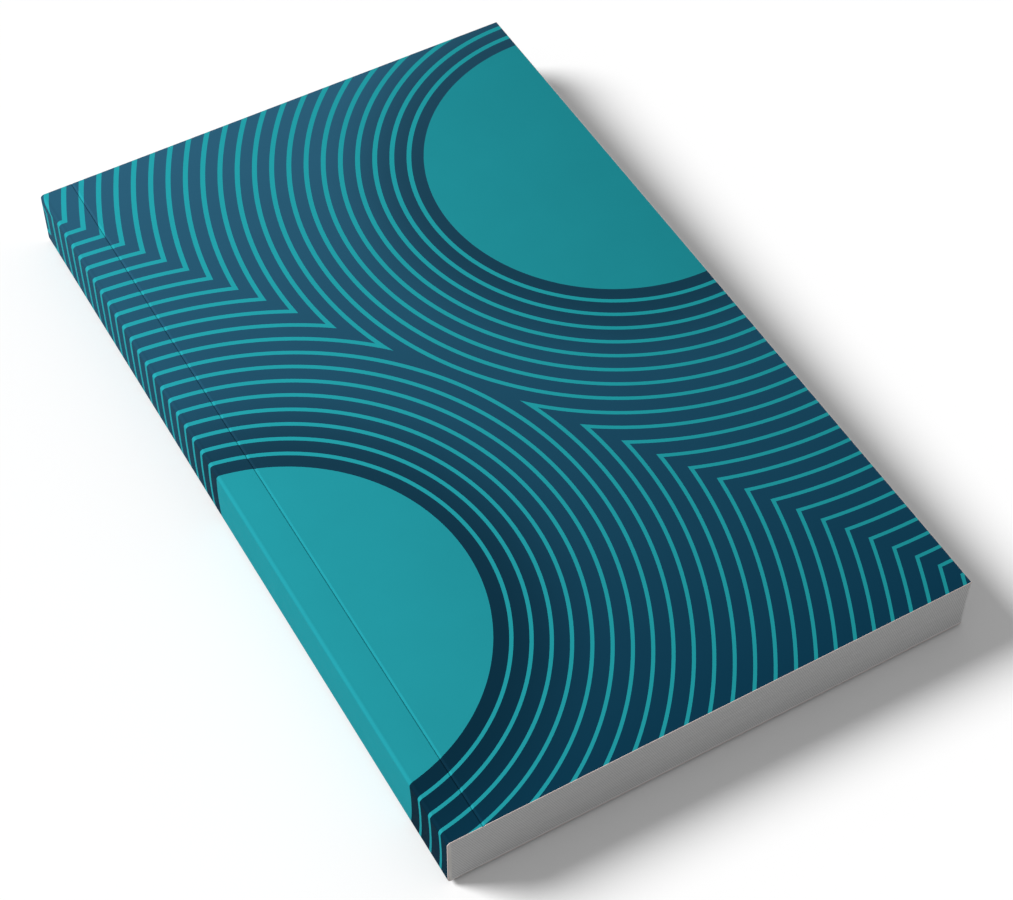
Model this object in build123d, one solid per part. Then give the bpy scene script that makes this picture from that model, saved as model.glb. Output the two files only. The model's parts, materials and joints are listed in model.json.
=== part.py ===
from build123d import *
import os

# Perfect-bound paperback, closed and lying on its back cover.
# Millimetres. +X runs from the spine to the fore-edge, +Y from the tail to the head and
# +Z from the back cover to the front cover. The origin is the middle of the underside.

# Driving dimensions
trim_width = 127.0           # spine's outer face to the fore-edge
trim_height = 203.2          # tail to head
book_thickness = 15.3        # back cover's outer face to front cover's outer face
card_thickness = 0.3         # cover card
spine_fold_radius = 0.9      # outside of the two folds beside the spine panel
score_inset = 8.2            # spine's outer face to the middle of each score
score_gap = 0.2              # width of the scored line, clear between strip and panel
fold_standoff = 0.05         # fold axis above the card's outer face, half the gap of a full fold
spine_glue_thickness = 0.6   # hot-melt on the milled backs of the leaves
side_glue_thickness = 0.1    # hot-melt under each hinge strip
side_glue_inset = 1.0        # side glue stops this far short of the score

# Places that follow from them
spine_x = -trim_width / 2
fore_edge_x = trim_width / 2
score_x = spine_x + score_inset
strip_end_x = score_x - score_gap / 2
panel_start_x = score_x + score_gap / 2
glue_end_x = score_x - side_glue_inset
leaves_x = spine_x + card_thickness + spine_glue_thickness
leaves_bottom = card_thickness
leaves_top = book_thickness - card_thickness


def flat_section(left, right, low, high):
    """Upright rectangle across the book, seen along the spine."""
    with BuildSketch(Plane.XZ) as section:
        with Locations(((left + right) / 2, (low + high) / 2)):
            Rectangle(right - left, high - low)
    return section.sketch


def folded_section(inset, right):
    """The book's outline brought in by inset, with both spine folds rounded, cut off at right."""
    outline = flat_section(spine_x + inset, right, inset, book_thickness - inset)
    spine_corners = outline.vertices().group_by(Axis.X)[0]
    return fillet(spine_corners, spine_fold_radius - inset)


def along_spine(section):
    """A section drawn out from tail to head."""
    return extrude(section, amount=trim_height / 2, both=True)


def page_section():
    """The trimmed block of leaves, thinner by the side glue up to where that glue stops."""
    leaves = flat_section(leaves_x, fore_edge_x, leaves_bottom, leaves_top)
    under_glue = flat_section(
        leaves_x,
        glue_end_x,
        leaves_bottom + side_glue_thickness,
        leaves_top - side_glue_thickness,
    )
    clear_of_glue = flat_section(glue_end_x, fore_edge_x, leaves_bottom, leaves_top)
    return leaves & (under_glue + clear_of_glue)


def page_block():
    return along_spine(page_section())


def spine_adhesive():
    """Hot-melt channel that fills the space between the leaves and the wrapped card."""
    inside_card = folded_section(card_thickness, glue_end_x)
    return along_spine(inside_card - page_section())


def spine_cover():
    """Spine panel, its two folds and the hinge strips that are glued down to the scores."""
    return along_spine(
        folded_section(0, strip_end_x) - folded_section(card_thickness, strip_end_x)
    )


def cover_panel(underside):
    """One cover from its score to the fore-edge, trimmed flush with the leaves."""
    return along_spine(
        flat_section(panel_start_x, fore_edge_x, underside, underside + card_thickness)
    )


pieces = {
    "front_cover": cover_panel(leaves_top),
    "back_cover": cover_panel(0),
    "spine_cover": spine_cover(),
    "page_block": page_block(),
    "spine_adhesive": spine_adhesive(),
}

os.makedirs("parts", exist_ok=True)
for name, piece in pieces.items():
    piece.label = name
    export_step(piece, f"parts/{name}.step")

front_fold_z = book_thickness + fold_standoff
back_fold_z = -fold_standoff
print(f"front cover folds about x {score_x:.3f}, z {front_fold_z:.3f}")
print(f"back cover folds about x {score_x:.3f}, z {back_fold_z:.3f}")
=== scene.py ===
import bpy
import bmesh
import json
import math
import random
from mathutils import Matrix, Vector


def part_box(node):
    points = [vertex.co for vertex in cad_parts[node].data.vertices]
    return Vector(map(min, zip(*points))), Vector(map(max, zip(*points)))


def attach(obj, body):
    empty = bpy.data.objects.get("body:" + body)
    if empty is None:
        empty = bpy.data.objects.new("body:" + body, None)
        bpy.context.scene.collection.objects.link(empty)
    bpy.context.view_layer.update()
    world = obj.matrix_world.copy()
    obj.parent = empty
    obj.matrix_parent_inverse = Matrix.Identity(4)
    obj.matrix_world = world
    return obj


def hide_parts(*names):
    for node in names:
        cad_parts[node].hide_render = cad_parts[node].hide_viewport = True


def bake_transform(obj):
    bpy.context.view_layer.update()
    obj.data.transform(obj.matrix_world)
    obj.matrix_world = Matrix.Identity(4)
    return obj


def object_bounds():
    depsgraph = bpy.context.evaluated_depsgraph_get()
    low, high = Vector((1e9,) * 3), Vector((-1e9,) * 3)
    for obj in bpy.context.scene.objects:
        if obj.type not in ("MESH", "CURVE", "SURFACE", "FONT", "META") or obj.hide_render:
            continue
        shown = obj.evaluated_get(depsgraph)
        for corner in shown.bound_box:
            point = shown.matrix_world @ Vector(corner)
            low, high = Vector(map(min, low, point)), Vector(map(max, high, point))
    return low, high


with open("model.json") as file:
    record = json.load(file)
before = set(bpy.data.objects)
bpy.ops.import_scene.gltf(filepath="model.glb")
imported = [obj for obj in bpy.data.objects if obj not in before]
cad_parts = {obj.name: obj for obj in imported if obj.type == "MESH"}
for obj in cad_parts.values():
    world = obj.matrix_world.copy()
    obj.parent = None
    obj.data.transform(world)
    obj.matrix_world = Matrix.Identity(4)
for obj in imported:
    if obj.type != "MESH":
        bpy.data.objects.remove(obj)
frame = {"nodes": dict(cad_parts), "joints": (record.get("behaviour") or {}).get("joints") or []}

# Perfect-bound paperback lying on its back cover. Metres, with the CAD's own axes:
# +X spine to fore-edge, +Y tail to head, +Z back cover to front cover.

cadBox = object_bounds()
bookLow, bookHigh = cadBox
frontLow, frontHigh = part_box("front_cover")
leavesLow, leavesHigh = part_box("page_block")
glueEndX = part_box("spine_adhesive")[1].x
hinges = {joint["name"]: Vector(joint["pos_m"]) for joint in frame["joints"]}
scoreX = hinges["front_cover_hinge"].x
middleZ = (bookLow.z + bookHigh.z) / 2
cardThickness = frontHigh.z - frontLow.z

mm = 0.001
samePlace = 1e-6                  # heights or places closer than this are the same
snapReach = 1e-7                  # a cut this close to a corner goes through it
rimSegments = 3                   # facets across every softened edge
sharpFrom = math.radians(28)      # faces that meet at more than this keep a sharp edge
noiseRange = (0.3, 0.7)           # where nearly all of a noise's values lie
print("frame loaded:", sorted(frame["nodes"]))


def everything(mesh):
    return mesh.verts[:] + mesh.edges[:] + mesh.faces[:]


def startBox(low, high):
    mesh = bmesh.new()
    bmesh.ops.create_cube(mesh, size=1)
    bmesh.ops.scale(mesh, vec=high - low, verts=mesh.verts)
    bmesh.ops.translate(mesh, vec=(low + high) / 2, verts=mesh.verts)
    return mesh


def cutAcross(mesh, place, direction):
    bmesh.ops.bisect_plane(
        mesh, geom=everything(mesh), dist=snapReach, plane_co=place, plane_no=direction
    )


def softenEdges(mesh, edges, width):
    bmesh.ops.bevel(
        mesh, geom=edges, offset=width, offset_type="OFFSET", segments=rimSegments,
        profile=0.5, affect="EDGES", material=-1, clamp_overlap=True
    )


def finishPiece(name, mesh, materials):
    bmesh.ops.triangulate(mesh, faces=[face for face in mesh.faces if len(face.verts) > 4])
    data = bpy.data.meshes.new(name)
    mesh.to_mesh(data)
    mesh.free()
    data.shade_smooth()
    data.set_sharp_from_angle(angle=sharpFrom)
    for material in materials:
        data.materials.append(material)
    piece = bpy.data.objects.new(name, data)
    bpy.context.scene.collection.objects.link(piece)
    print(f"{name}: {len(data.polygons)} faces")
    return piece


def colour(red, green, blue):
    # screen levels from 0 to 255, made linear
    def linear(level):
        level = level / 255
        return level / 12.92 if level <= 0.04045 else ((level + 0.055) / 1.055) ** 2.4
    return (linear(red), linear(green), linear(blue), 1)


def feed(tree, socket, value):
    if isinstance(value, bpy.types.NodeSocket):
        tree.links.new(value, socket)
    else:
        socket.default_value = value


def addNode(tree, kind, place, **settings):
    # place is the node's column and row in the editor
    made = tree.nodes.new(kind)
    made.location = (place[0] * 200, place[1] * -180)
    for name, value in settings.items():
        setattr(made, name, value)
    return made


def maths(tree, place, operation, first, second=0.0, third=None):
    made = addNode(tree, "ShaderNodeMath", place, operation=operation)
    feed(tree, made.inputs[0], first)
    feed(tree, made.inputs[1], second)
    if third is not None:
        feed(tree, made.inputs[2], third)
    return made.outputs[0]


def mixColours(tree, place, share, first, second):
    # the Mix node's sockets 6 and 7 are its two colours, and output 2 their mix
    made = addNode(tree, "ShaderNodeMix", place, data_type="RGBA")
    feed(tree, made.inputs["Factor"], share)
    feed(tree, made.inputs[6], first)
    feed(tree, made.inputs[7], second)
    return made.outputs[2]


def spread(tree, place, value, fromLow, fromHigh, toLow, toHigh, shape="LINEAR"):
    made = addNode(tree, "ShaderNodeMapRange", place, interpolation_type=shape)
    for socket, given in zip(made.inputs, (value, fromLow, fromHigh, toLow, toHigh)):
        feed(tree, socket, given)
    return made.outputs[0]


def noise(tree, place, vector, scale, detail=3.0, roughness=0.55):
    made = addNode(tree, "ShaderNodeTexNoise", place)
    feed(tree, made.inputs["Vector"], vector)
    feed(tree, made.inputs["Scale"], scale)
    feed(tree, made.inputs["Detail"], detail)
    feed(tree, made.inputs["Roughness"], roughness)
    return made.outputs["Fac"]


def vectorMaths(tree, place, operation, *vectors):
    made = addNode(tree, "ShaderNodeVectorMath", place, operation=operation)
    for socket, vector in zip(made.inputs, vectors):
        feed(tree, socket, vector)
    return made.outputs["Value" if operation in ("DISTANCE", "DOT_PRODUCT") else "Vector"]


def scaled(tree, place, vector, scale):
    return vectorMaths(tree, place, "MULTIPLY", vector, scale)


def dim(tree, place, tone, level):
    made = addNode(tree, "ShaderNodeVectorMath", place, operation="SCALE")
    feed(tree, made.inputs[0], tone)
    feed(tree, made.inputs["Scale"], level)
    return made.outputs[0]


def newGroup(name, inputs, outputs):
    tree = bpy.data.node_groups.new(name, "ShaderNodeTree")
    for socketName, kind, default in inputs:
        socket = tree.interface.new_socket(name=socketName, in_out="INPUT", socket_type=kind)
        if default is not None:
            socket.default_value = default
    for socketName, kind in outputs:
        tree.interface.new_socket(name=socketName, in_out="OUTPUT", socket_type=kind)
    entry = addNode(tree, "NodeGroupInput", (-6, 0))
    leave = addNode(tree, "NodeGroupOutput", (6, 0))
    return tree, entry.outputs, leave.inputs


def useGroup(tree, group, place, **values):
    made = addNode(tree, "ShaderNodeGroup", place, node_tree=group)
    for name, value in values.items():
        feed(tree, made.inputs[name], value)
    return made.outputs


def newMaterial(name):
    material = bpy.data.materials.new(name)
    material.use_nodes = True
    tree = material.node_tree
    return material, tree, tree.nodes["Principled BSDF"].inputs


def objectMillimetres(tree, place):
    where = addNode(tree, "ShaderNodeTexCoord", place).outputs["Object"]
    return scaled(tree, (place[0] + 1, place[1]), where, (1 / mm, 1 / mm, 1 / mm))


def bumpFrom(tree, place, height, strength, distance):
    made = addNode(tree, "ShaderNodeBump", place)
    feed(tree, made.inputs["Strength"], strength)
    feed(tree, made.inputs["Distance"], distance)
    feed(tree, made.inputs["Height"], height)
    return made.outputs["Normal"]


sheetPlan = {
    "foldRadius": 0.9 * mm,     # outside of the two folds beside the spine panel
    "foldSegments": 14,
}
spinePanelHalf = middleZ - bookLow.z - sheetPlan["foldRadius"]
foldCentreX = bookLow.x + sheetPlan["foldRadius"]
foldLength = sheetPlan["foldRadius"] * math.pi / 2
halfSheet = spinePanelHalf + foldLength + bookHigh.x - foldCentreX
sheetHeight = bookHigh.y - bookLow.y


def alongSheet(point):
    # distance from the middle of the spine, round the fold and over the cover; back cover negative
    side = 1 if point.z >= middleZ else -1
    up = abs(point.z - middleZ)
    out = point.x - foldCentreX
    if out > 0:
        return side * (spinePanelHalf + foldLength + out)
    if up > spinePanelHalf:
        turned = math.atan2(up - spinePanelHalf, -out)
        return side * (spinePanelHalf + sheetPlan["foldRadius"] * turned)
    return side * up


def layOnSheet(mesh):
    uvs = mesh.loops.layers.uv.new("sheet")
    for face in mesh.faces:
        for loop in face.loops:
            place = loop.vert.co
            across = 0.5 + alongSheet(place) / (2 * halfSheet)
            loop[uvs].uv = (across, (place.y - bookLow.y) / sheetHeight)


def makeToneDrift():
    # slow change of tone over a surface: a clean colour in, a slightly uneven one out
    tree, given, gives = newGroup(
        "toneDrift",
        [("Color", "NodeSocketColor", None), ("Vector", "NodeSocketVector", None),
         ("Scale", "NodeSocketFloat", 1.0), ("Amount", "NodeSocketFloat", 0.05)],
        [("Color", "NodeSocketColor")],
    )
    mask = noise(tree, (-4, 0), given["Vector"], given["Scale"], detail=4.0, roughness=0.6)
    centred = maths(tree, (-2, 0), "SUBTRACT", mask, 0.5)
    level = maths(tree, (-1, 0), "MULTIPLY_ADD", centred, given["Amount"], 1.0)
    feed(tree, gives["Color"], dim(tree, (3, 0), given["Color"], level))
    return tree


def makePaperFibre():
    # short felted fibres: stretched noise laid two ways
    tree, given, gives = newGroup(
        "paperFibre",
        [("Vector", "NodeSocketVector", None), ("Scale", "NodeSocketFloat", 1.0)],
        [("Tone", "NodeSocketFloat"), ("Height", "NodeSocketFloat")],
    )
    stretch, squeeze = 0.35, 1.6
    longWays = scaled(tree, (-4, -1), given["Vector"], (stretch, squeeze, 1.0))
    crossWays = scaled(tree, (-4, 1), given["Vector"], (squeeze, stretch, 1.0))
    first = noise(tree, (-2, -1), longWays, given["Scale"], detail=6.0, roughness=0.7)
    second = noise(tree, (-2, 1), crossWays, given["Scale"], detail=6.0, roughness=0.7)
    both = maths(tree, (0, 0), "ADD", first, second)
    darkest, lightest = 0.75, 1.25
    feed(tree, gives["Tone"], spread(tree, (2, -1), both, darkest, lightest, 0.0, 1.0))
    feed(tree, gives["Height"], maths(tree, (2, 1), "MULTIPLY", both, 0.5))
    return tree


toneDrift = makeToneDrift()
paperFibre = makePaperFibre()


printDesign = {
    # the navy ground lightens from tail to head: partly the print's own gradient, partly painted sheen at
    # the head
    "navyTail": colour(12, 57, 79),
    "navyHeadWithSheen": colour(41, 90, 115),
    # painted light falloff: the teal fields and rings are lighter by the spine and darker towards the
    # fore-edge, as if lit from the spine side
    "fieldSpineLit": colour(36, 154, 165),
    "fieldForeShaded": colour(28, 131, 140),
    "lineSpineLit": colour(36, 159, 169),
    "lineForeShaded": colour(30, 145, 152),
    "spineGroundShade": 0.64,      # painted shade: the spine panel's ground is darkened to look less lit than the covers
    # painted shade: the spine panel's ink is darkened too
    "spineInkShade": 0.88,
    # millimetres from here on
    "spineShadeEdge": (6.6, 8.7),  # from mid-spine, where the painted shade on the spine panel ends, round the fold
    "springs": ((0.0, 60.0), (134.0, 148.0)),   # along the sheet from mid-spine, up from the tail
    "fieldRadius": 45.0,      # plain disc round each spring
    "ringPitch": 4.2,
    "ringWidthTail": 0.8,     # a ring widens from tail to head
    "ringWidthHead": 1.25,
    "shadeReach": 26.0,       # outside a disc, where the ground stays darker
    "shadeDepth": 0.42,       # share of the ground's tone taken off at the disc
}


def sheetMillimetres(tree, place):
    # the flat sheet in millimetres: x from the middle of the spine, y up from the tail
    uv = addNode(tree, "ShaderNodeUVMap", place, uv_map="sheet")
    size = (2 * halfSheet / mm, sheetHeight / mm, 0)
    start = (-halfSheet / mm, 0, 0)
    return vectorMaths(tree, (place[0] + 1, place[1]), "MULTIPLY_ADD", uv.outputs[0], size, start)


def makeRipplePrint():
    # two springs send out rings, which meet half way; both covers carry the same design
    plan = printDesign
    tree, given, gives = newGroup(
        "ripplePrint",
        [("Sheet", "NodeSocketVector", None)],
        [("Color", "NodeSocketColor")],
    )
    folded = vectorMaths(tree, (-5, 0), "ABSOLUTE", given["Sheet"])
    away = []
    for row, spring in enumerate(plan["springs"]):
        away.append(vectorMaths(tree, (-4, row * 2 - 1), "DISTANCE", folded, (*spring, 0)))
    nearest = maths(tree, (-3, 0), "MINIMUM", away[0], away[1])
    beyond = maths(tree, (-2, 0), "SUBTRACT", nearest, plan["fieldRadius"])
    inField = maths(tree, (-1, -1), "LESS_THAN", beyond, 0.0)
    phase = maths(tree, (-1, 1), "FLOORED_MODULO", beyond, plan["ringPitch"])

    split = addNode(tree, "ShaderNodeSeparateXYZ", (-4, 4))
    feed(tree, split.inputs[0], folded)
    outward = spread(tree, (-2, 3), split.outputs[0], 0.0, halfSheet / mm, 0.0, 1.0)
    upward = spread(tree, (-2, 4), split.outputs[1], 0.0, sheetHeight / mm, 0.0, 1.0)
    ringStart = spread(
        tree, (-1, 2), upward, 0.0, 1.0,
        plan["ringPitch"] - plan["ringWidthTail"], plan["ringPitch"] - plan["ringWidthHead"]
    )
    inRing = maths(tree, (0, 1), "GREATER_THAN", phase, ringStart)
    start, end = plan["spineShadeEdge"]
    # painted shade on the spine panel and its folds, fading out before the hinge strips
    spineGroundShading = spread(tree, (-1, 5), split.outputs[0], start, end, plan["spineGroundShade"], 1.0)
    spineInkShading = spread(tree, (-1, 6), split.outputs[0], start, end, plan["spineInkShade"], 1.0)
    # the navy's blend from tail to head is partly the print's gradient, partly painted sheen
    ground = mixColours(tree, (0, 4), upward, plan["navyTail"], plan["navyHeadWithSheen"])
    shade = spread(
        tree, (0, 5), beyond, 0.0, plan["shadeReach"], 1 - plan["shadeDepth"], 1.0, "SMOOTHSTEP"
    )
    dimmed = dim(tree, (1, 4), ground, maths(tree, (1, 5), "MULTIPLY", shade, spineGroundShading))
    # painted light falloff across the cover: teal lighter by the spine, darker towards the fore-edge
    field = mixColours(tree, (1, 2), outward, plan["fieldSpineLit"], plan["fieldForeShaded"])
    line = mixColours(tree, (1, 3), outward, plan["lineSpineLit"], plan["lineForeShaded"])
    ringed = mixColours(tree, (3, 3), inRing, dimmed, dim(tree, (2, 3), line, spineInkShading))
    whole = mixColours(tree, (4, 2), inField, ringed, dim(tree, (2, 2), field, spineInkShading))
    feed(tree, gives["Color"], whole)
    return tree


laminatePlan = {
    "driftScale": 0.06,           # noise scales are for one millimetre
    "driftAmount": 0.10,
    "filmScale": 0.25,
    "filmRoughness": (0.62, 0.72),
    "grainScale": 3.0,
    "grainStrength": 0.12,
    "grainHeight": 0.02 * mm,
    "specular": 0.01,
}


def makePrintedLaminate():
    plan = laminatePlan
    material, tree, shader = newMaterial("printedLaminate")
    sheet = sheetMillimetres(tree, (-8, 0))
    inked = useGroup(tree, makeRipplePrint(), (-5, 0), Sheet=sheet)["Color"]
    drifted = useGroup(
        tree, toneDrift, (-4, 0),
        Color=inked, Vector=sheet, Scale=plan["driftScale"], Amount=plan["driftAmount"]
    )
    grain = noise(tree, (-5, 3), sheet, plan["grainScale"])
    film = noise(tree, (-5, 4), sheet, plan["filmScale"], detail=2.0)
    grainBump = bumpFrom(tree, (-2, 3), grain, plan["grainStrength"], plan["grainHeight"])
    feed(tree, shader["Base Color"], drifted["Color"])
    feed(tree, shader["Roughness"], spread(tree, (-2, 2), film, *noiseRange, *plan["filmRoughness"]))
    feed(tree, shader["Normal"], grainBump)
    shader["Specular IOR Level"].default_value = plan["specular"]
    return material


boardPlan = {
    "insideTone": colour(230, 228, 223),
    "insideDarker": colour(217, 215, 210),
    "coreTone": colour(246, 231, 226),
    "coreDarker": colour(234, 219, 214),
    "driftScale": 0.08,
    "driftAmount": 0.05,
    "fibreScale": 2.2,
    "fibreRoughness": (0.82, 0.92),
    "fibreStrength": 0.35,
    "fibreHeight": 0.03 * mm,
    "specular": 0.3,
}


def makeCardBoard(name, tone, darker):
    plan = boardPlan
    material, tree, shader = newMaterial(name)
    sheet = sheetMillimetres(tree, (-8, 0))
    fibre = useGroup(tree, paperFibre, (-5, 1), Vector=sheet, Scale=plan["fibreScale"])
    mottled = mixColours(tree, (-4, 0), fibre["Tone"], darker, tone)
    drifted = useGroup(
        tree, toneDrift, (-3, 0),
        Color=mottled, Vector=sheet, Scale=plan["driftScale"], Amount=plan["driftAmount"]
    )
    roughness = spread(tree, (-2, 2), fibre["Tone"], 0.0, 1.0, *plan["fibreRoughness"])
    fibreBump = bumpFrom(tree, (-2, 3), fibre["Height"], plan["fibreStrength"], plan["fibreHeight"])
    feed(tree, shader["Base Color"], drifted["Color"])
    feed(tree, shader["Roughness"], roughness)
    feed(tree, shader["Normal"], fibreBump)
    shader["Specular IOR Level"].default_value = plan["specular"]
    return material


printedLaminate = makePrintedLaminate()
cardInside = makeCardBoard("cardInside", boardPlan["insideTone"], boardPlan["insideDarker"])
cardCore = makeCardBoard("cardCore", boardPlan["coreTone"], boardPlan["coreDarker"])
cardMaterials = [printedLaminate, cardInside, cardCore]
printedSide, plainSide, cutSide = 0, 1, 2     # their places in that list

coverPlan = {
    "seamBeforeScore": 0.75 * mm,  # where panel and hinge strip meet, on the strip's side of the score
    "scoreDepth": 0.18 * mm,
    "scoreWall": 0.27 * mm,        # steep side, towards the spine
    "scoreSlope": 0.45 * mm,       # long side, towards the fore-edge
    "fineLoops": 0.045 * mm,       # spacing over the score
    "wideLoops": 0.1 * mm,         # spacing over the rest of the fold
    "bendHalf": 0.5 * mm,          # the fold turns within this of the score
    "edgeReach": 1.0 * mm,         # what lies this close to the seam or the fore-edge belongs to it
    "cutFacing": 0.2,              # a face that turns this far to an outer edge is on its cut rim
    # the knife comes down from the front: it rounds the printed edge there, and the plain edge at the back
    "printedRim": {"front": 0.15 * mm, "spine": 0.15 * mm, "back": 0.05 * mm},
    "plainRim": {"front": 0.03 * mm, "back": 0.14 * mm},
}
seamX = scoreX - coverPlan["seamBeforeScore"]


def evenStops(start, end, spacing):
    return [start + step * spacing for step in range(round((end - start) / spacing) + 1)]


def pressScore(mesh):
    # a thin crease along the score from tail to head; the card's plain side stays flat
    wall, slope = coverPlan["scoreWall"], coverPlan["scoreSlope"]
    half = coverPlan["bendHalf"]
    stops = evenStops(-half, half, coverPlan["wideLoops"])
    stops += evenStops(-wall, slope, coverPlan["fineLoops"])
    for stop in sorted(stops):
        cutAcross(mesh, (scoreX + stop, 0, 0), (1, 0, 0))
    for vert in mesh.verts:
        off = vert.co.x - scoreX
        pressed = max(min((off + wall) / wall, 1 - off / slope), 0)
        height = (vert.co.z - frontLow.z) / cardThickness
        vert.co.z -= coverPlan["scoreDepth"] * pressed * height


def isCut(face):
    # a face left by the knife, with the rim it rounded
    turned = coverPlan["cutFacing"]
    nearFore = face.calc_center_median().x > bookHigh.x - coverPlan["edgeReach"]
    return abs(face.normal.y) > turned or (nearFore and face.normal.x > turned)


def makeCoverCard(side, outward):
    # made as the front cover lies; the back one is its mirror image
    mesh = startBox(Vector((seamX, frontLow.y, frontLow.z)), frontHigh)
    for height, width in ((frontHigh.z, coverPlan["printedRim"]), (frontLow.z, coverPlan["plainRim"])):
        rim = [
            edge for edge in mesh.edges
            if all(abs(vert.co.z - height) < samePlace for vert in edge.verts)
            and max(vert.co.x for vert in edge.verts) > seamX + coverPlan["edgeReach"]
        ]
        softenEdges(mesh, rim, width[side])
    pressScore(mesh)
    if outward < 0:
        bmesh.ops.scale(
            mesh, vec=(1, 1, -1), verts=mesh.verts, space=Matrix.Translation((0, 0, -middleZ))
        )
        bmesh.ops.recalc_face_normals(mesh, faces=mesh.faces)
    mesh.normal_update()
    for face in mesh.faces:
        facesOut = face.normal.z * outward > 0
        face.material_index = cutSide if isCut(face) else printedSide if facesOut else plainSide
    layOnSheet(mesh)
    return finishPiece(f"{side}_cover_card", mesh, cardMaterials)


for side, outward in (("front", 1), ("back", -1)):
    cover = makeCoverCard(side, outward)
    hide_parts(f"{side}_cover")
    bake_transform(cover)


spinePlan = {
    "insideFromFold": 4 * mm,   # from the folds to the line inside the card that tells its sides apart
    "endFacing": 0.5,           # a face that turns this far to head or tail is the card's end
}


def facesAway(face):
    # on the outside of the folded card, as seen from a line inside it
    centre = face.calc_center_median()
    inside = Vector((foldCentreX + spinePlan["insideFromFold"], centre.y, middleZ))
    return face.normal.dot(centre - inside) > 0


def makeSpineCard():
    # a channel folded from the same card: hinge strip, fold, spine panel, fold, hinge strip
    mesh = bmesh.new()
    corners = [
        (seamX, bookHigh.z), (bookLow.x, bookHigh.z), (bookLow.x, bookLow.z), (seamX, bookLow.z)
    ]
    verts = [mesh.verts.new((x, bookLow.y, z)) for x, z in corners]
    for first, second in zip(verts, verts[1:]):
        mesh.edges.new((first, second))
    bmesh.ops.bevel(
        mesh, geom=verts[1:3], offset=sheetPlan["foldRadius"], offset_type="OFFSET",
        segments=sheetPlan["foldSegments"], profile=0.5, affect="VERTICES", material=-1
    )
    drawn = bmesh.ops.extrude_edge_only(mesh, edges=mesh.edges[:])["geom"]
    top = [item for item in drawn if isinstance(item, bmesh.types.BMVert)]
    bmesh.ops.translate(mesh, vec=(0, sheetHeight, 0), verts=top)
    bmesh.ops.recalc_face_normals(mesh, faces=mesh.faces)
    bmesh.ops.solidify(mesh, geom=mesh.faces[:], thickness=cardThickness)
    bmesh.ops.recalc_face_normals(mesh, faces=mesh.faces)
    mesh.normal_update()
    outer = [
        face for face in mesh.faces
        if abs(face.normal.y) < spinePlan["endFacing"] and facesAway(face)
    ]
    outerRim = {
        edge for face in outer for edge in face.edges
        if abs(edge.verts[0].co.y - edge.verts[1].co.y) < samePlace
    }
    softenEdges(mesh, list(outerRim), coverPlan["printedRim"]["spine"])
    mesh.normal_update()
    for face in mesh.faces:
        face.material_index = cutSide if isCut(face) else printedSide if facesAway(face) else plainSide
    layOnSheet(mesh)
    return finishPiece("spine_cover_card", mesh, cardMaterials)


spineCard = makeSpineCard()
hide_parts("spine_cover")
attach(spineCard, "block")


leafPlan = {
    "leaves": 147,
    "drawSeed": 7,
    "unevenness": 0.03 * mm,   # how far a leaf's edge may lie back from the guillotine's plane
    "leafGap": 0.012 * mm,     # height of the little step between two leaves
    "glueSink": 0.1 * mm,      # the block is thinner where the hinge strips are glued down
    "cornerRound": 0.2 * mm,
    "arrisHighlight": 0.45 * mm,        # painted highlight: lighter strip at the two fore corners
    "lastSheetsHighlight": 0.45 * mm,   # painted highlight on the lowest sheets too
    "highlightLift": 1.25,          # painted highlights, at times the cut's own tone
    "knifePitch": 0.49,        # mm between the marks that the knife leaves across the leaves
    "knifeLean": 0.455,        # they lean this far sideways for each step down
    "knifeDepth": 0.115,       # and change the tone by this share
    "pageDark": colour(224, 224, 222),
    "pageLight": colour(235, 235, 233),
    "cutDark": colour(222, 222, 222),
    "cutLight": colour(230, 230, 230),
    "streakScale": 0.05,       # along the leaves, each streak one leaf high
    "bandScale": (0.08, 0.08, 3.0),
    "bandTone": (0.99, 1.01),
    "edgeFacing": (0.75, 0.9),   # turned up or down by more than this, a face is a page
    "driftScale": 0.03,
    "driftAmount": 0.05,
    "fibreScale": 2.0,
    "fibreRoughness": (0.86, 0.95),
    "fibreStrength": 0.3,
    "fibreHeight": 0.02 * mm,
    "specular": 0.25,
}
leafHeight = (leavesHigh.z - leavesLow.z) / leafPlan["leaves"]


def paintedEdgeHighlights(tree, inMillimetres):
    # painted highlights: tone factor at the fore corners and on the last sheets, 0 elsewhere
    arrisHighlight = leafPlan["arrisHighlight"]
    sheetsHighlightTop = (leavesLow.z + leafPlan["lastSheetsHighlight"]) / mm
    split = addNode(tree, "ShaderNodeSeparateXYZ", (-7, 6))
    feed(tree, split.inputs[0], vectorMaths(tree, (-8, 6), "ABSOLUTE", inMillimetres))
    atFore = maths(tree, (-6, 6), "GREATER_THAN", split.outputs[0], (leavesHigh.x - arrisHighlight) / mm)
    atEnd = maths(tree, (-6, 7), "GREATER_THAN", split.outputs[1], (leavesHigh.y - arrisHighlight) / mm)
    corner = maths(tree, (-5, 6), "MULTIPLY", atFore, atEnd)
    sheets = maths(tree, (-5, 7), "LESS_THAN", split.outputs[2], sheetsHighlightTop)
    either = maths(tree, (-4, 6), "MAXIMUM", corner, sheets)
    return maths(tree, (-3, 6), "MULTIPLY", either, leafPlan["highlightLift"])


def knifeMarks(tree, inMillimetres):
    # tone factor: fine even marks, leaning the same way on all three cut sides
    lean = (1.0, 1.0, leafPlan["knifeLean"])
    along = vectorMaths(tree, (-7, 8), "DOT_PRODUCT", inMillimetres, lean)
    turned = maths(tree, (-6, 8), "MULTIPLY", along, 2 * math.pi / leafPlan["knifePitch"])
    wave = maths(tree, (-5, 8), "SINE", turned)
    return maths(tree, (-4, 8), "MULTIPLY_ADD", wave, leafPlan["knifeDepth"], 1.0)


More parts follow.
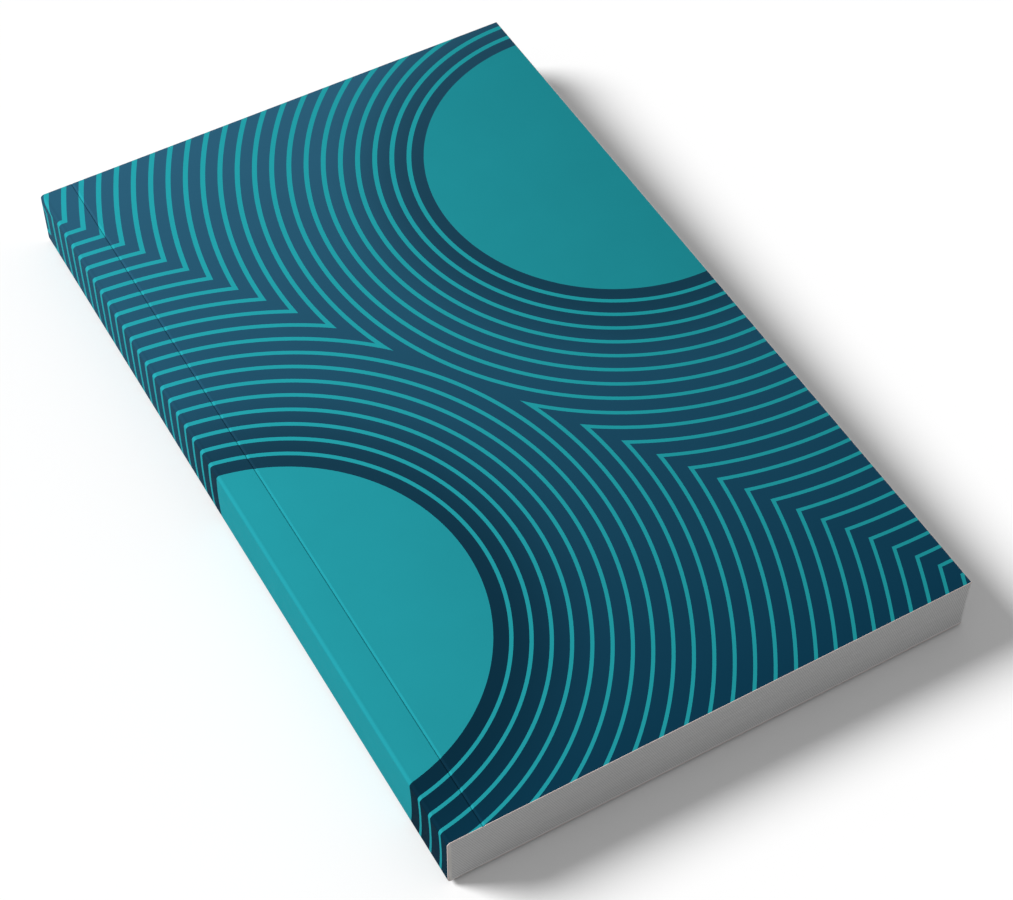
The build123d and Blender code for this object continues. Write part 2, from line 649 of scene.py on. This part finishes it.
def cutEdgeColour(tree, inMillimetres):
    # long streaks one leaf high, broader bands, the knife's marks and the painted highlights on the edges
    plan = leafPlan
    along = plan["streakScale"]
    flat = scaled(tree, (-7, 1), inMillimetres, (along, along, mm / leafHeight))
    streaks = noise(tree, (-6, 1), flat, 1.0, detail=2.0)
    broad = scaled(tree, (-7, 2), inMillimetres, plan["bandScale"])
    bands = noise(tree, (-6, 2), broad, 1.0, detail=2.0)
    leafTone = spread(tree, (-4, 1), streaks, *noiseRange, 0.0, 1.0)
    cut = mixColours(tree, (-3, 1), leafTone, plan["cutDark"], plan["cutLight"])
    bandTone = spread(tree, (-4, 2), bands, *noiseRange, *plan["bandTone"])
    marked = maths(tree, (-3, 2), "MULTIPLY", bandTone, knifeMarks(tree, inMillimetres))
    # the knife's marks, lifted by the painted highlights at the corners and last sheets
    marksAndHighlights = maths(tree, (-2, 2), "MAXIMUM", marked, paintedEdgeHighlights(tree, inMillimetres))
    return dim(tree, (-2, 1), cut, marksAndHighlights)


def onCutEdge(tree):
    # 1 on the three cut sides, 0 on the first and last page
    facing = addNode(tree, "ShaderNodeNewGeometry", (-7, 4)).outputs["Normal"]
    split = addNode(tree, "ShaderNodeSeparateXYZ", (-6, 4))
    feed(tree, split.inputs[0], facing)
    level = maths(tree, (-5, 4), "ABSOLUTE", split.outputs[2])
    return spread(tree, (-4, 4), level, *leafPlan["edgeFacing"], 1.0, 0.0)


def makeLeafPaper():
    plan = leafPlan
    material, tree, shader = newMaterial("leafPaper")
    inMillimetres = objectMillimetres(tree, (-9, 0))
    fibre = useGroup(tree, paperFibre, (-6, 0), Vector=inMillimetres, Scale=plan["fibreScale"])
    page = mixColours(tree, (-4, 0), fibre["Tone"], plan["pageDark"], plan["pageLight"])
    cut = cutEdgeColour(tree, inMillimetres)
    both = mixColours(tree, (-1, 0), onCutEdge(tree), page, cut)
    drifted = useGroup(
        tree, toneDrift, (0, 0),
        Color=both, Vector=inMillimetres, Scale=plan["driftScale"], Amount=plan["driftAmount"]
    )
    roughness = spread(tree, (-1, 2), fibre["Tone"], 0.0, 1.0, *plan["fibreRoughness"])
    fibreBump = bumpFrom(tree, (-1, 3), fibre["Height"], plan["fibreStrength"], plan["fibreHeight"])
    feed(tree, shader["Base Color"], drifted["Color"])
    feed(tree, shader["Roughness"], roughness)
    feed(tree, shader["Normal"], fibreBump)
    shader["Specular IOR Level"].default_value = plan["specular"]
    return material


def makeLeafBlock():
    # one block cut into leaves; each leaf's edges lie back by their own hair's breadth
    leaves = leafPlan["leaves"]
    mesh = startBox(leavesLow, leavesHigh)
    foreCorners = [
        edge for edge in mesh.edges
        if abs(edge.verts[0].co.z - edge.verts[1].co.z) > leafHeight and edge.verts[0].co.x > 0
    ]
    softenEdges(mesh, foreCorners, leafPlan["cornerRound"])

    sink = leafPlan["glueSink"]
    ramp = sink / 2
    cutAcross(mesh, (glueEndX, 0, 0), (1, 0, 0))
    cutAcross(mesh, (glueEndX - ramp, 0, 0), (1, 0, 0))
    for vert in mesh.verts:
        if vert.co.x < glueEndX - ramp / 2:
            vert.co.z += sink if vert.co.z < middleZ else -sink

    for step in range(1, leaves):
        z = leavesLow.z + step * leafHeight
        for side in (-1, 1):
            cutAcross(mesh, (0, 0, z + side * leafPlan["leafGap"] / 2), (0, 0, 1))
    draw = random.Random(leafPlan["drawSeed"])
    back = [[draw.random() * leafPlan["unevenness"] for edge in range(3)] for leaf in range(leaves)]
    for vert in mesh.verts:
        fore, head, tail = back[min(int((vert.co.z - leavesLow.z) / leafHeight), leaves - 1)]
        if vert.co.x > 0:
            vert.co.x -= fore
        vert.co.y -= head if vert.co.y > 0 else -tail
    return finishPiece("leaf_block", mesh, [makeLeafPaper()])


leafBlock = makeLeafBlock()
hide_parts("page_block")
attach(leafBlock, "block")


gluePlan = {
    "tone": colour(233, 231, 228),
    "darker": colour(221, 219, 215),
    "driftScale": 0.3,
    "driftAmount": 0.08,
    "lumpScale": 0.8,
    "lumpRoughness": (0.45, 0.6),
    "lumpStrength": 0.4,
    "lumpHeight": 0.05 * mm,
}


def makeHotMelt():
    plan = gluePlan
    material, tree, shader = newMaterial("hotMelt")
    inMillimetres = objectMillimetres(tree, (-8, 0))
    lumps = noise(tree, (-6, 1), inMillimetres, plan["lumpScale"])
    mottled = mixColours(tree, (-4, 0), lumps, plan["tone"], plan["darker"])
    drifted = useGroup(
        tree, toneDrift, (-3, 0),
        Color=mottled, Vector=inMillimetres, Scale=plan["driftScale"], Amount=plan["driftAmount"]
    )
    lumpBump = bumpFrom(tree, (-2, 3), lumps, plan["lumpStrength"], plan["lumpHeight"])
    feed(tree, shader["Base Color"], drifted["Color"])
    feed(tree, shader["Roughness"], spread(tree, (-2, 2), lumps, *noiseRange, *plan["lumpRoughness"]))
    feed(tree, shader["Normal"], lumpBump)
    return material


glue = frame["nodes"]["spine_adhesive"]
glue.data.materials.clear()
glue.data.materials.append(makeHotMelt())
print("materials done")


stagePlan = {
    "floorRadius": 6.0,
    "floorSides": 96,
    "floorDrop": 0.65 * mm,      # below the book, so that an opened back cover still lies on top of it
    "floorTone": 0.93,
    "floorGlow": 0.03,
    "floorBounce": 0.30,         # what the floor gives back to the book
    "roomLevel": 0.33,           # light from all round
    "keyTravel": Vector((1.08, -0.91, -1.0)),    # the way the light goes
    "keyStrength": 3.92,
    "keyAngle": 25,              # degrees, a large soft source
}


def seenDirectly(tree, place):
    # 1 where the eye, a reflection or a clear piece looks at the background, 0 where light only bounces
    rays = addNode(tree, "ShaderNodeLightPath", place).outputs
    seen = maths(tree, (place[0] + 1, 0), "MAXIMUM", rays["Is Camera Ray"], rays["Is Glossy Ray"])
    return maths(tree, (place[0] + 2, 0), "MAXIMUM", seen, rays["Is Transmission Ray"])


def makeFloor():
    mesh = bmesh.new()
    bmesh.ops.create_circle(
        mesh, cap_ends=True, radius=stagePlan["floorRadius"], segments=stagePlan["floorSides"]
    )
    bmesh.ops.translate(mesh, vec=(0, 0, bookLow.z - stagePlan["floorDrop"]), verts=mesh.verts)
    data = bpy.data.meshes.new("floor")
    mesh.to_mesh(data)
    mesh.free()
    floor = bpy.data.objects.new("floor", data)
    bpy.context.scene.collection.objects.link(floor)

    material, tree, shader = newMaterial("paleFloor")
    seen = seenDirectly(tree, (-5, 0))
    tone = stagePlan["floorTone"]
    bounce = stagePlan["floorBounce"]
    toned = mixColours(tree, (-1, 0), seen, (bounce, bounce, bounce, 1), (tone, tone, tone, 1))
    feed(tree, shader["Base Color"], toned)
    feed(tree, shader["Emission Strength"], maths(tree, (-1, 2), "MULTIPLY", seen, stagePlan["floorGlow"]))
    shader["Emission Color"].default_value = (1, 1, 1, 1)
    shader["Roughness"].default_value = 1.0
    shader["Specular IOR Level"].default_value = 0.0
    data.materials.append(material)


def makeRoom():
    world = bpy.data.worlds.new("room")
    bpy.context.scene.world = world
    world.use_nodes = True
    tree = world.node_tree
    background = tree.nodes["Background"].inputs
    seen = seenDirectly(tree, (-4, 0))
    level = spread(tree, (-1, 0), seen, 0.0, 1.0, stagePlan["roomLevel"], 1.0)
    background["Color"].default_value = (1, 1, 1, 1)
    feed(tree, background["Strength"], level)


def makeKeyLight():
    lamp = bpy.data.lights.new("keyLight", "SUN")
    lamp.energy = stagePlan["keyStrength"]
    lamp.angle = math.radians(stagePlan["keyAngle"])
    key = bpy.data.objects.new("keyLight", lamp)
    key.rotation_euler = stagePlan["keyTravel"].to_track_quat("-Z", "Y").to_euler()
    key.location = -stagePlan["keyTravel"]
    bpy.context.scene.collection.objects.link(key)


cameraPlan = {
    "heading": 29.529,      # degrees from the head towards the fore-edge
    "downward": 50.969,     # degrees below the horizon
    "distance": 0.5321,
    "aim": Vector((-0.0049, -0.0131, 0.0153)),
    "lens": 84.80,          # millimetres, as is the sensor's width
    "sensorWidth": 36,
    "shift": (0.0213, -0.0264),
    "clipStart": 0.01,
}


def makeCamera():
    heading = math.radians(cameraPlan["heading"])
    downward = math.radians(cameraPlan["downward"])
    looking = Vector((
        math.sin(heading) * math.cos(downward),
        math.cos(heading) * math.cos(downward),
        -math.sin(downward),
    ))
    lens = bpy.data.cameras.new("camera")
    lens.lens = cameraPlan["lens"]
    lens.sensor_width = cameraPlan["sensorWidth"]
    lens.shift_x, lens.shift_y = cameraPlan["shift"]
    lens.clip_start = cameraPlan["clipStart"]
    camera = bpy.data.objects.new("camera", lens)
    camera.location = cameraPlan["aim"] - looking * cameraPlan["distance"]
    camera.rotation_euler = looking.to_track_quat("-Z", "Y").to_euler()
    bpy.context.scene.collection.objects.link(camera)
    bpy.context.scene.camera = camera


makeFloor()
makeRoom()
makeKeyLight()
makeCamera()
bpy.context.scene.view_settings.view_transform = "Standard"
print("stage done")
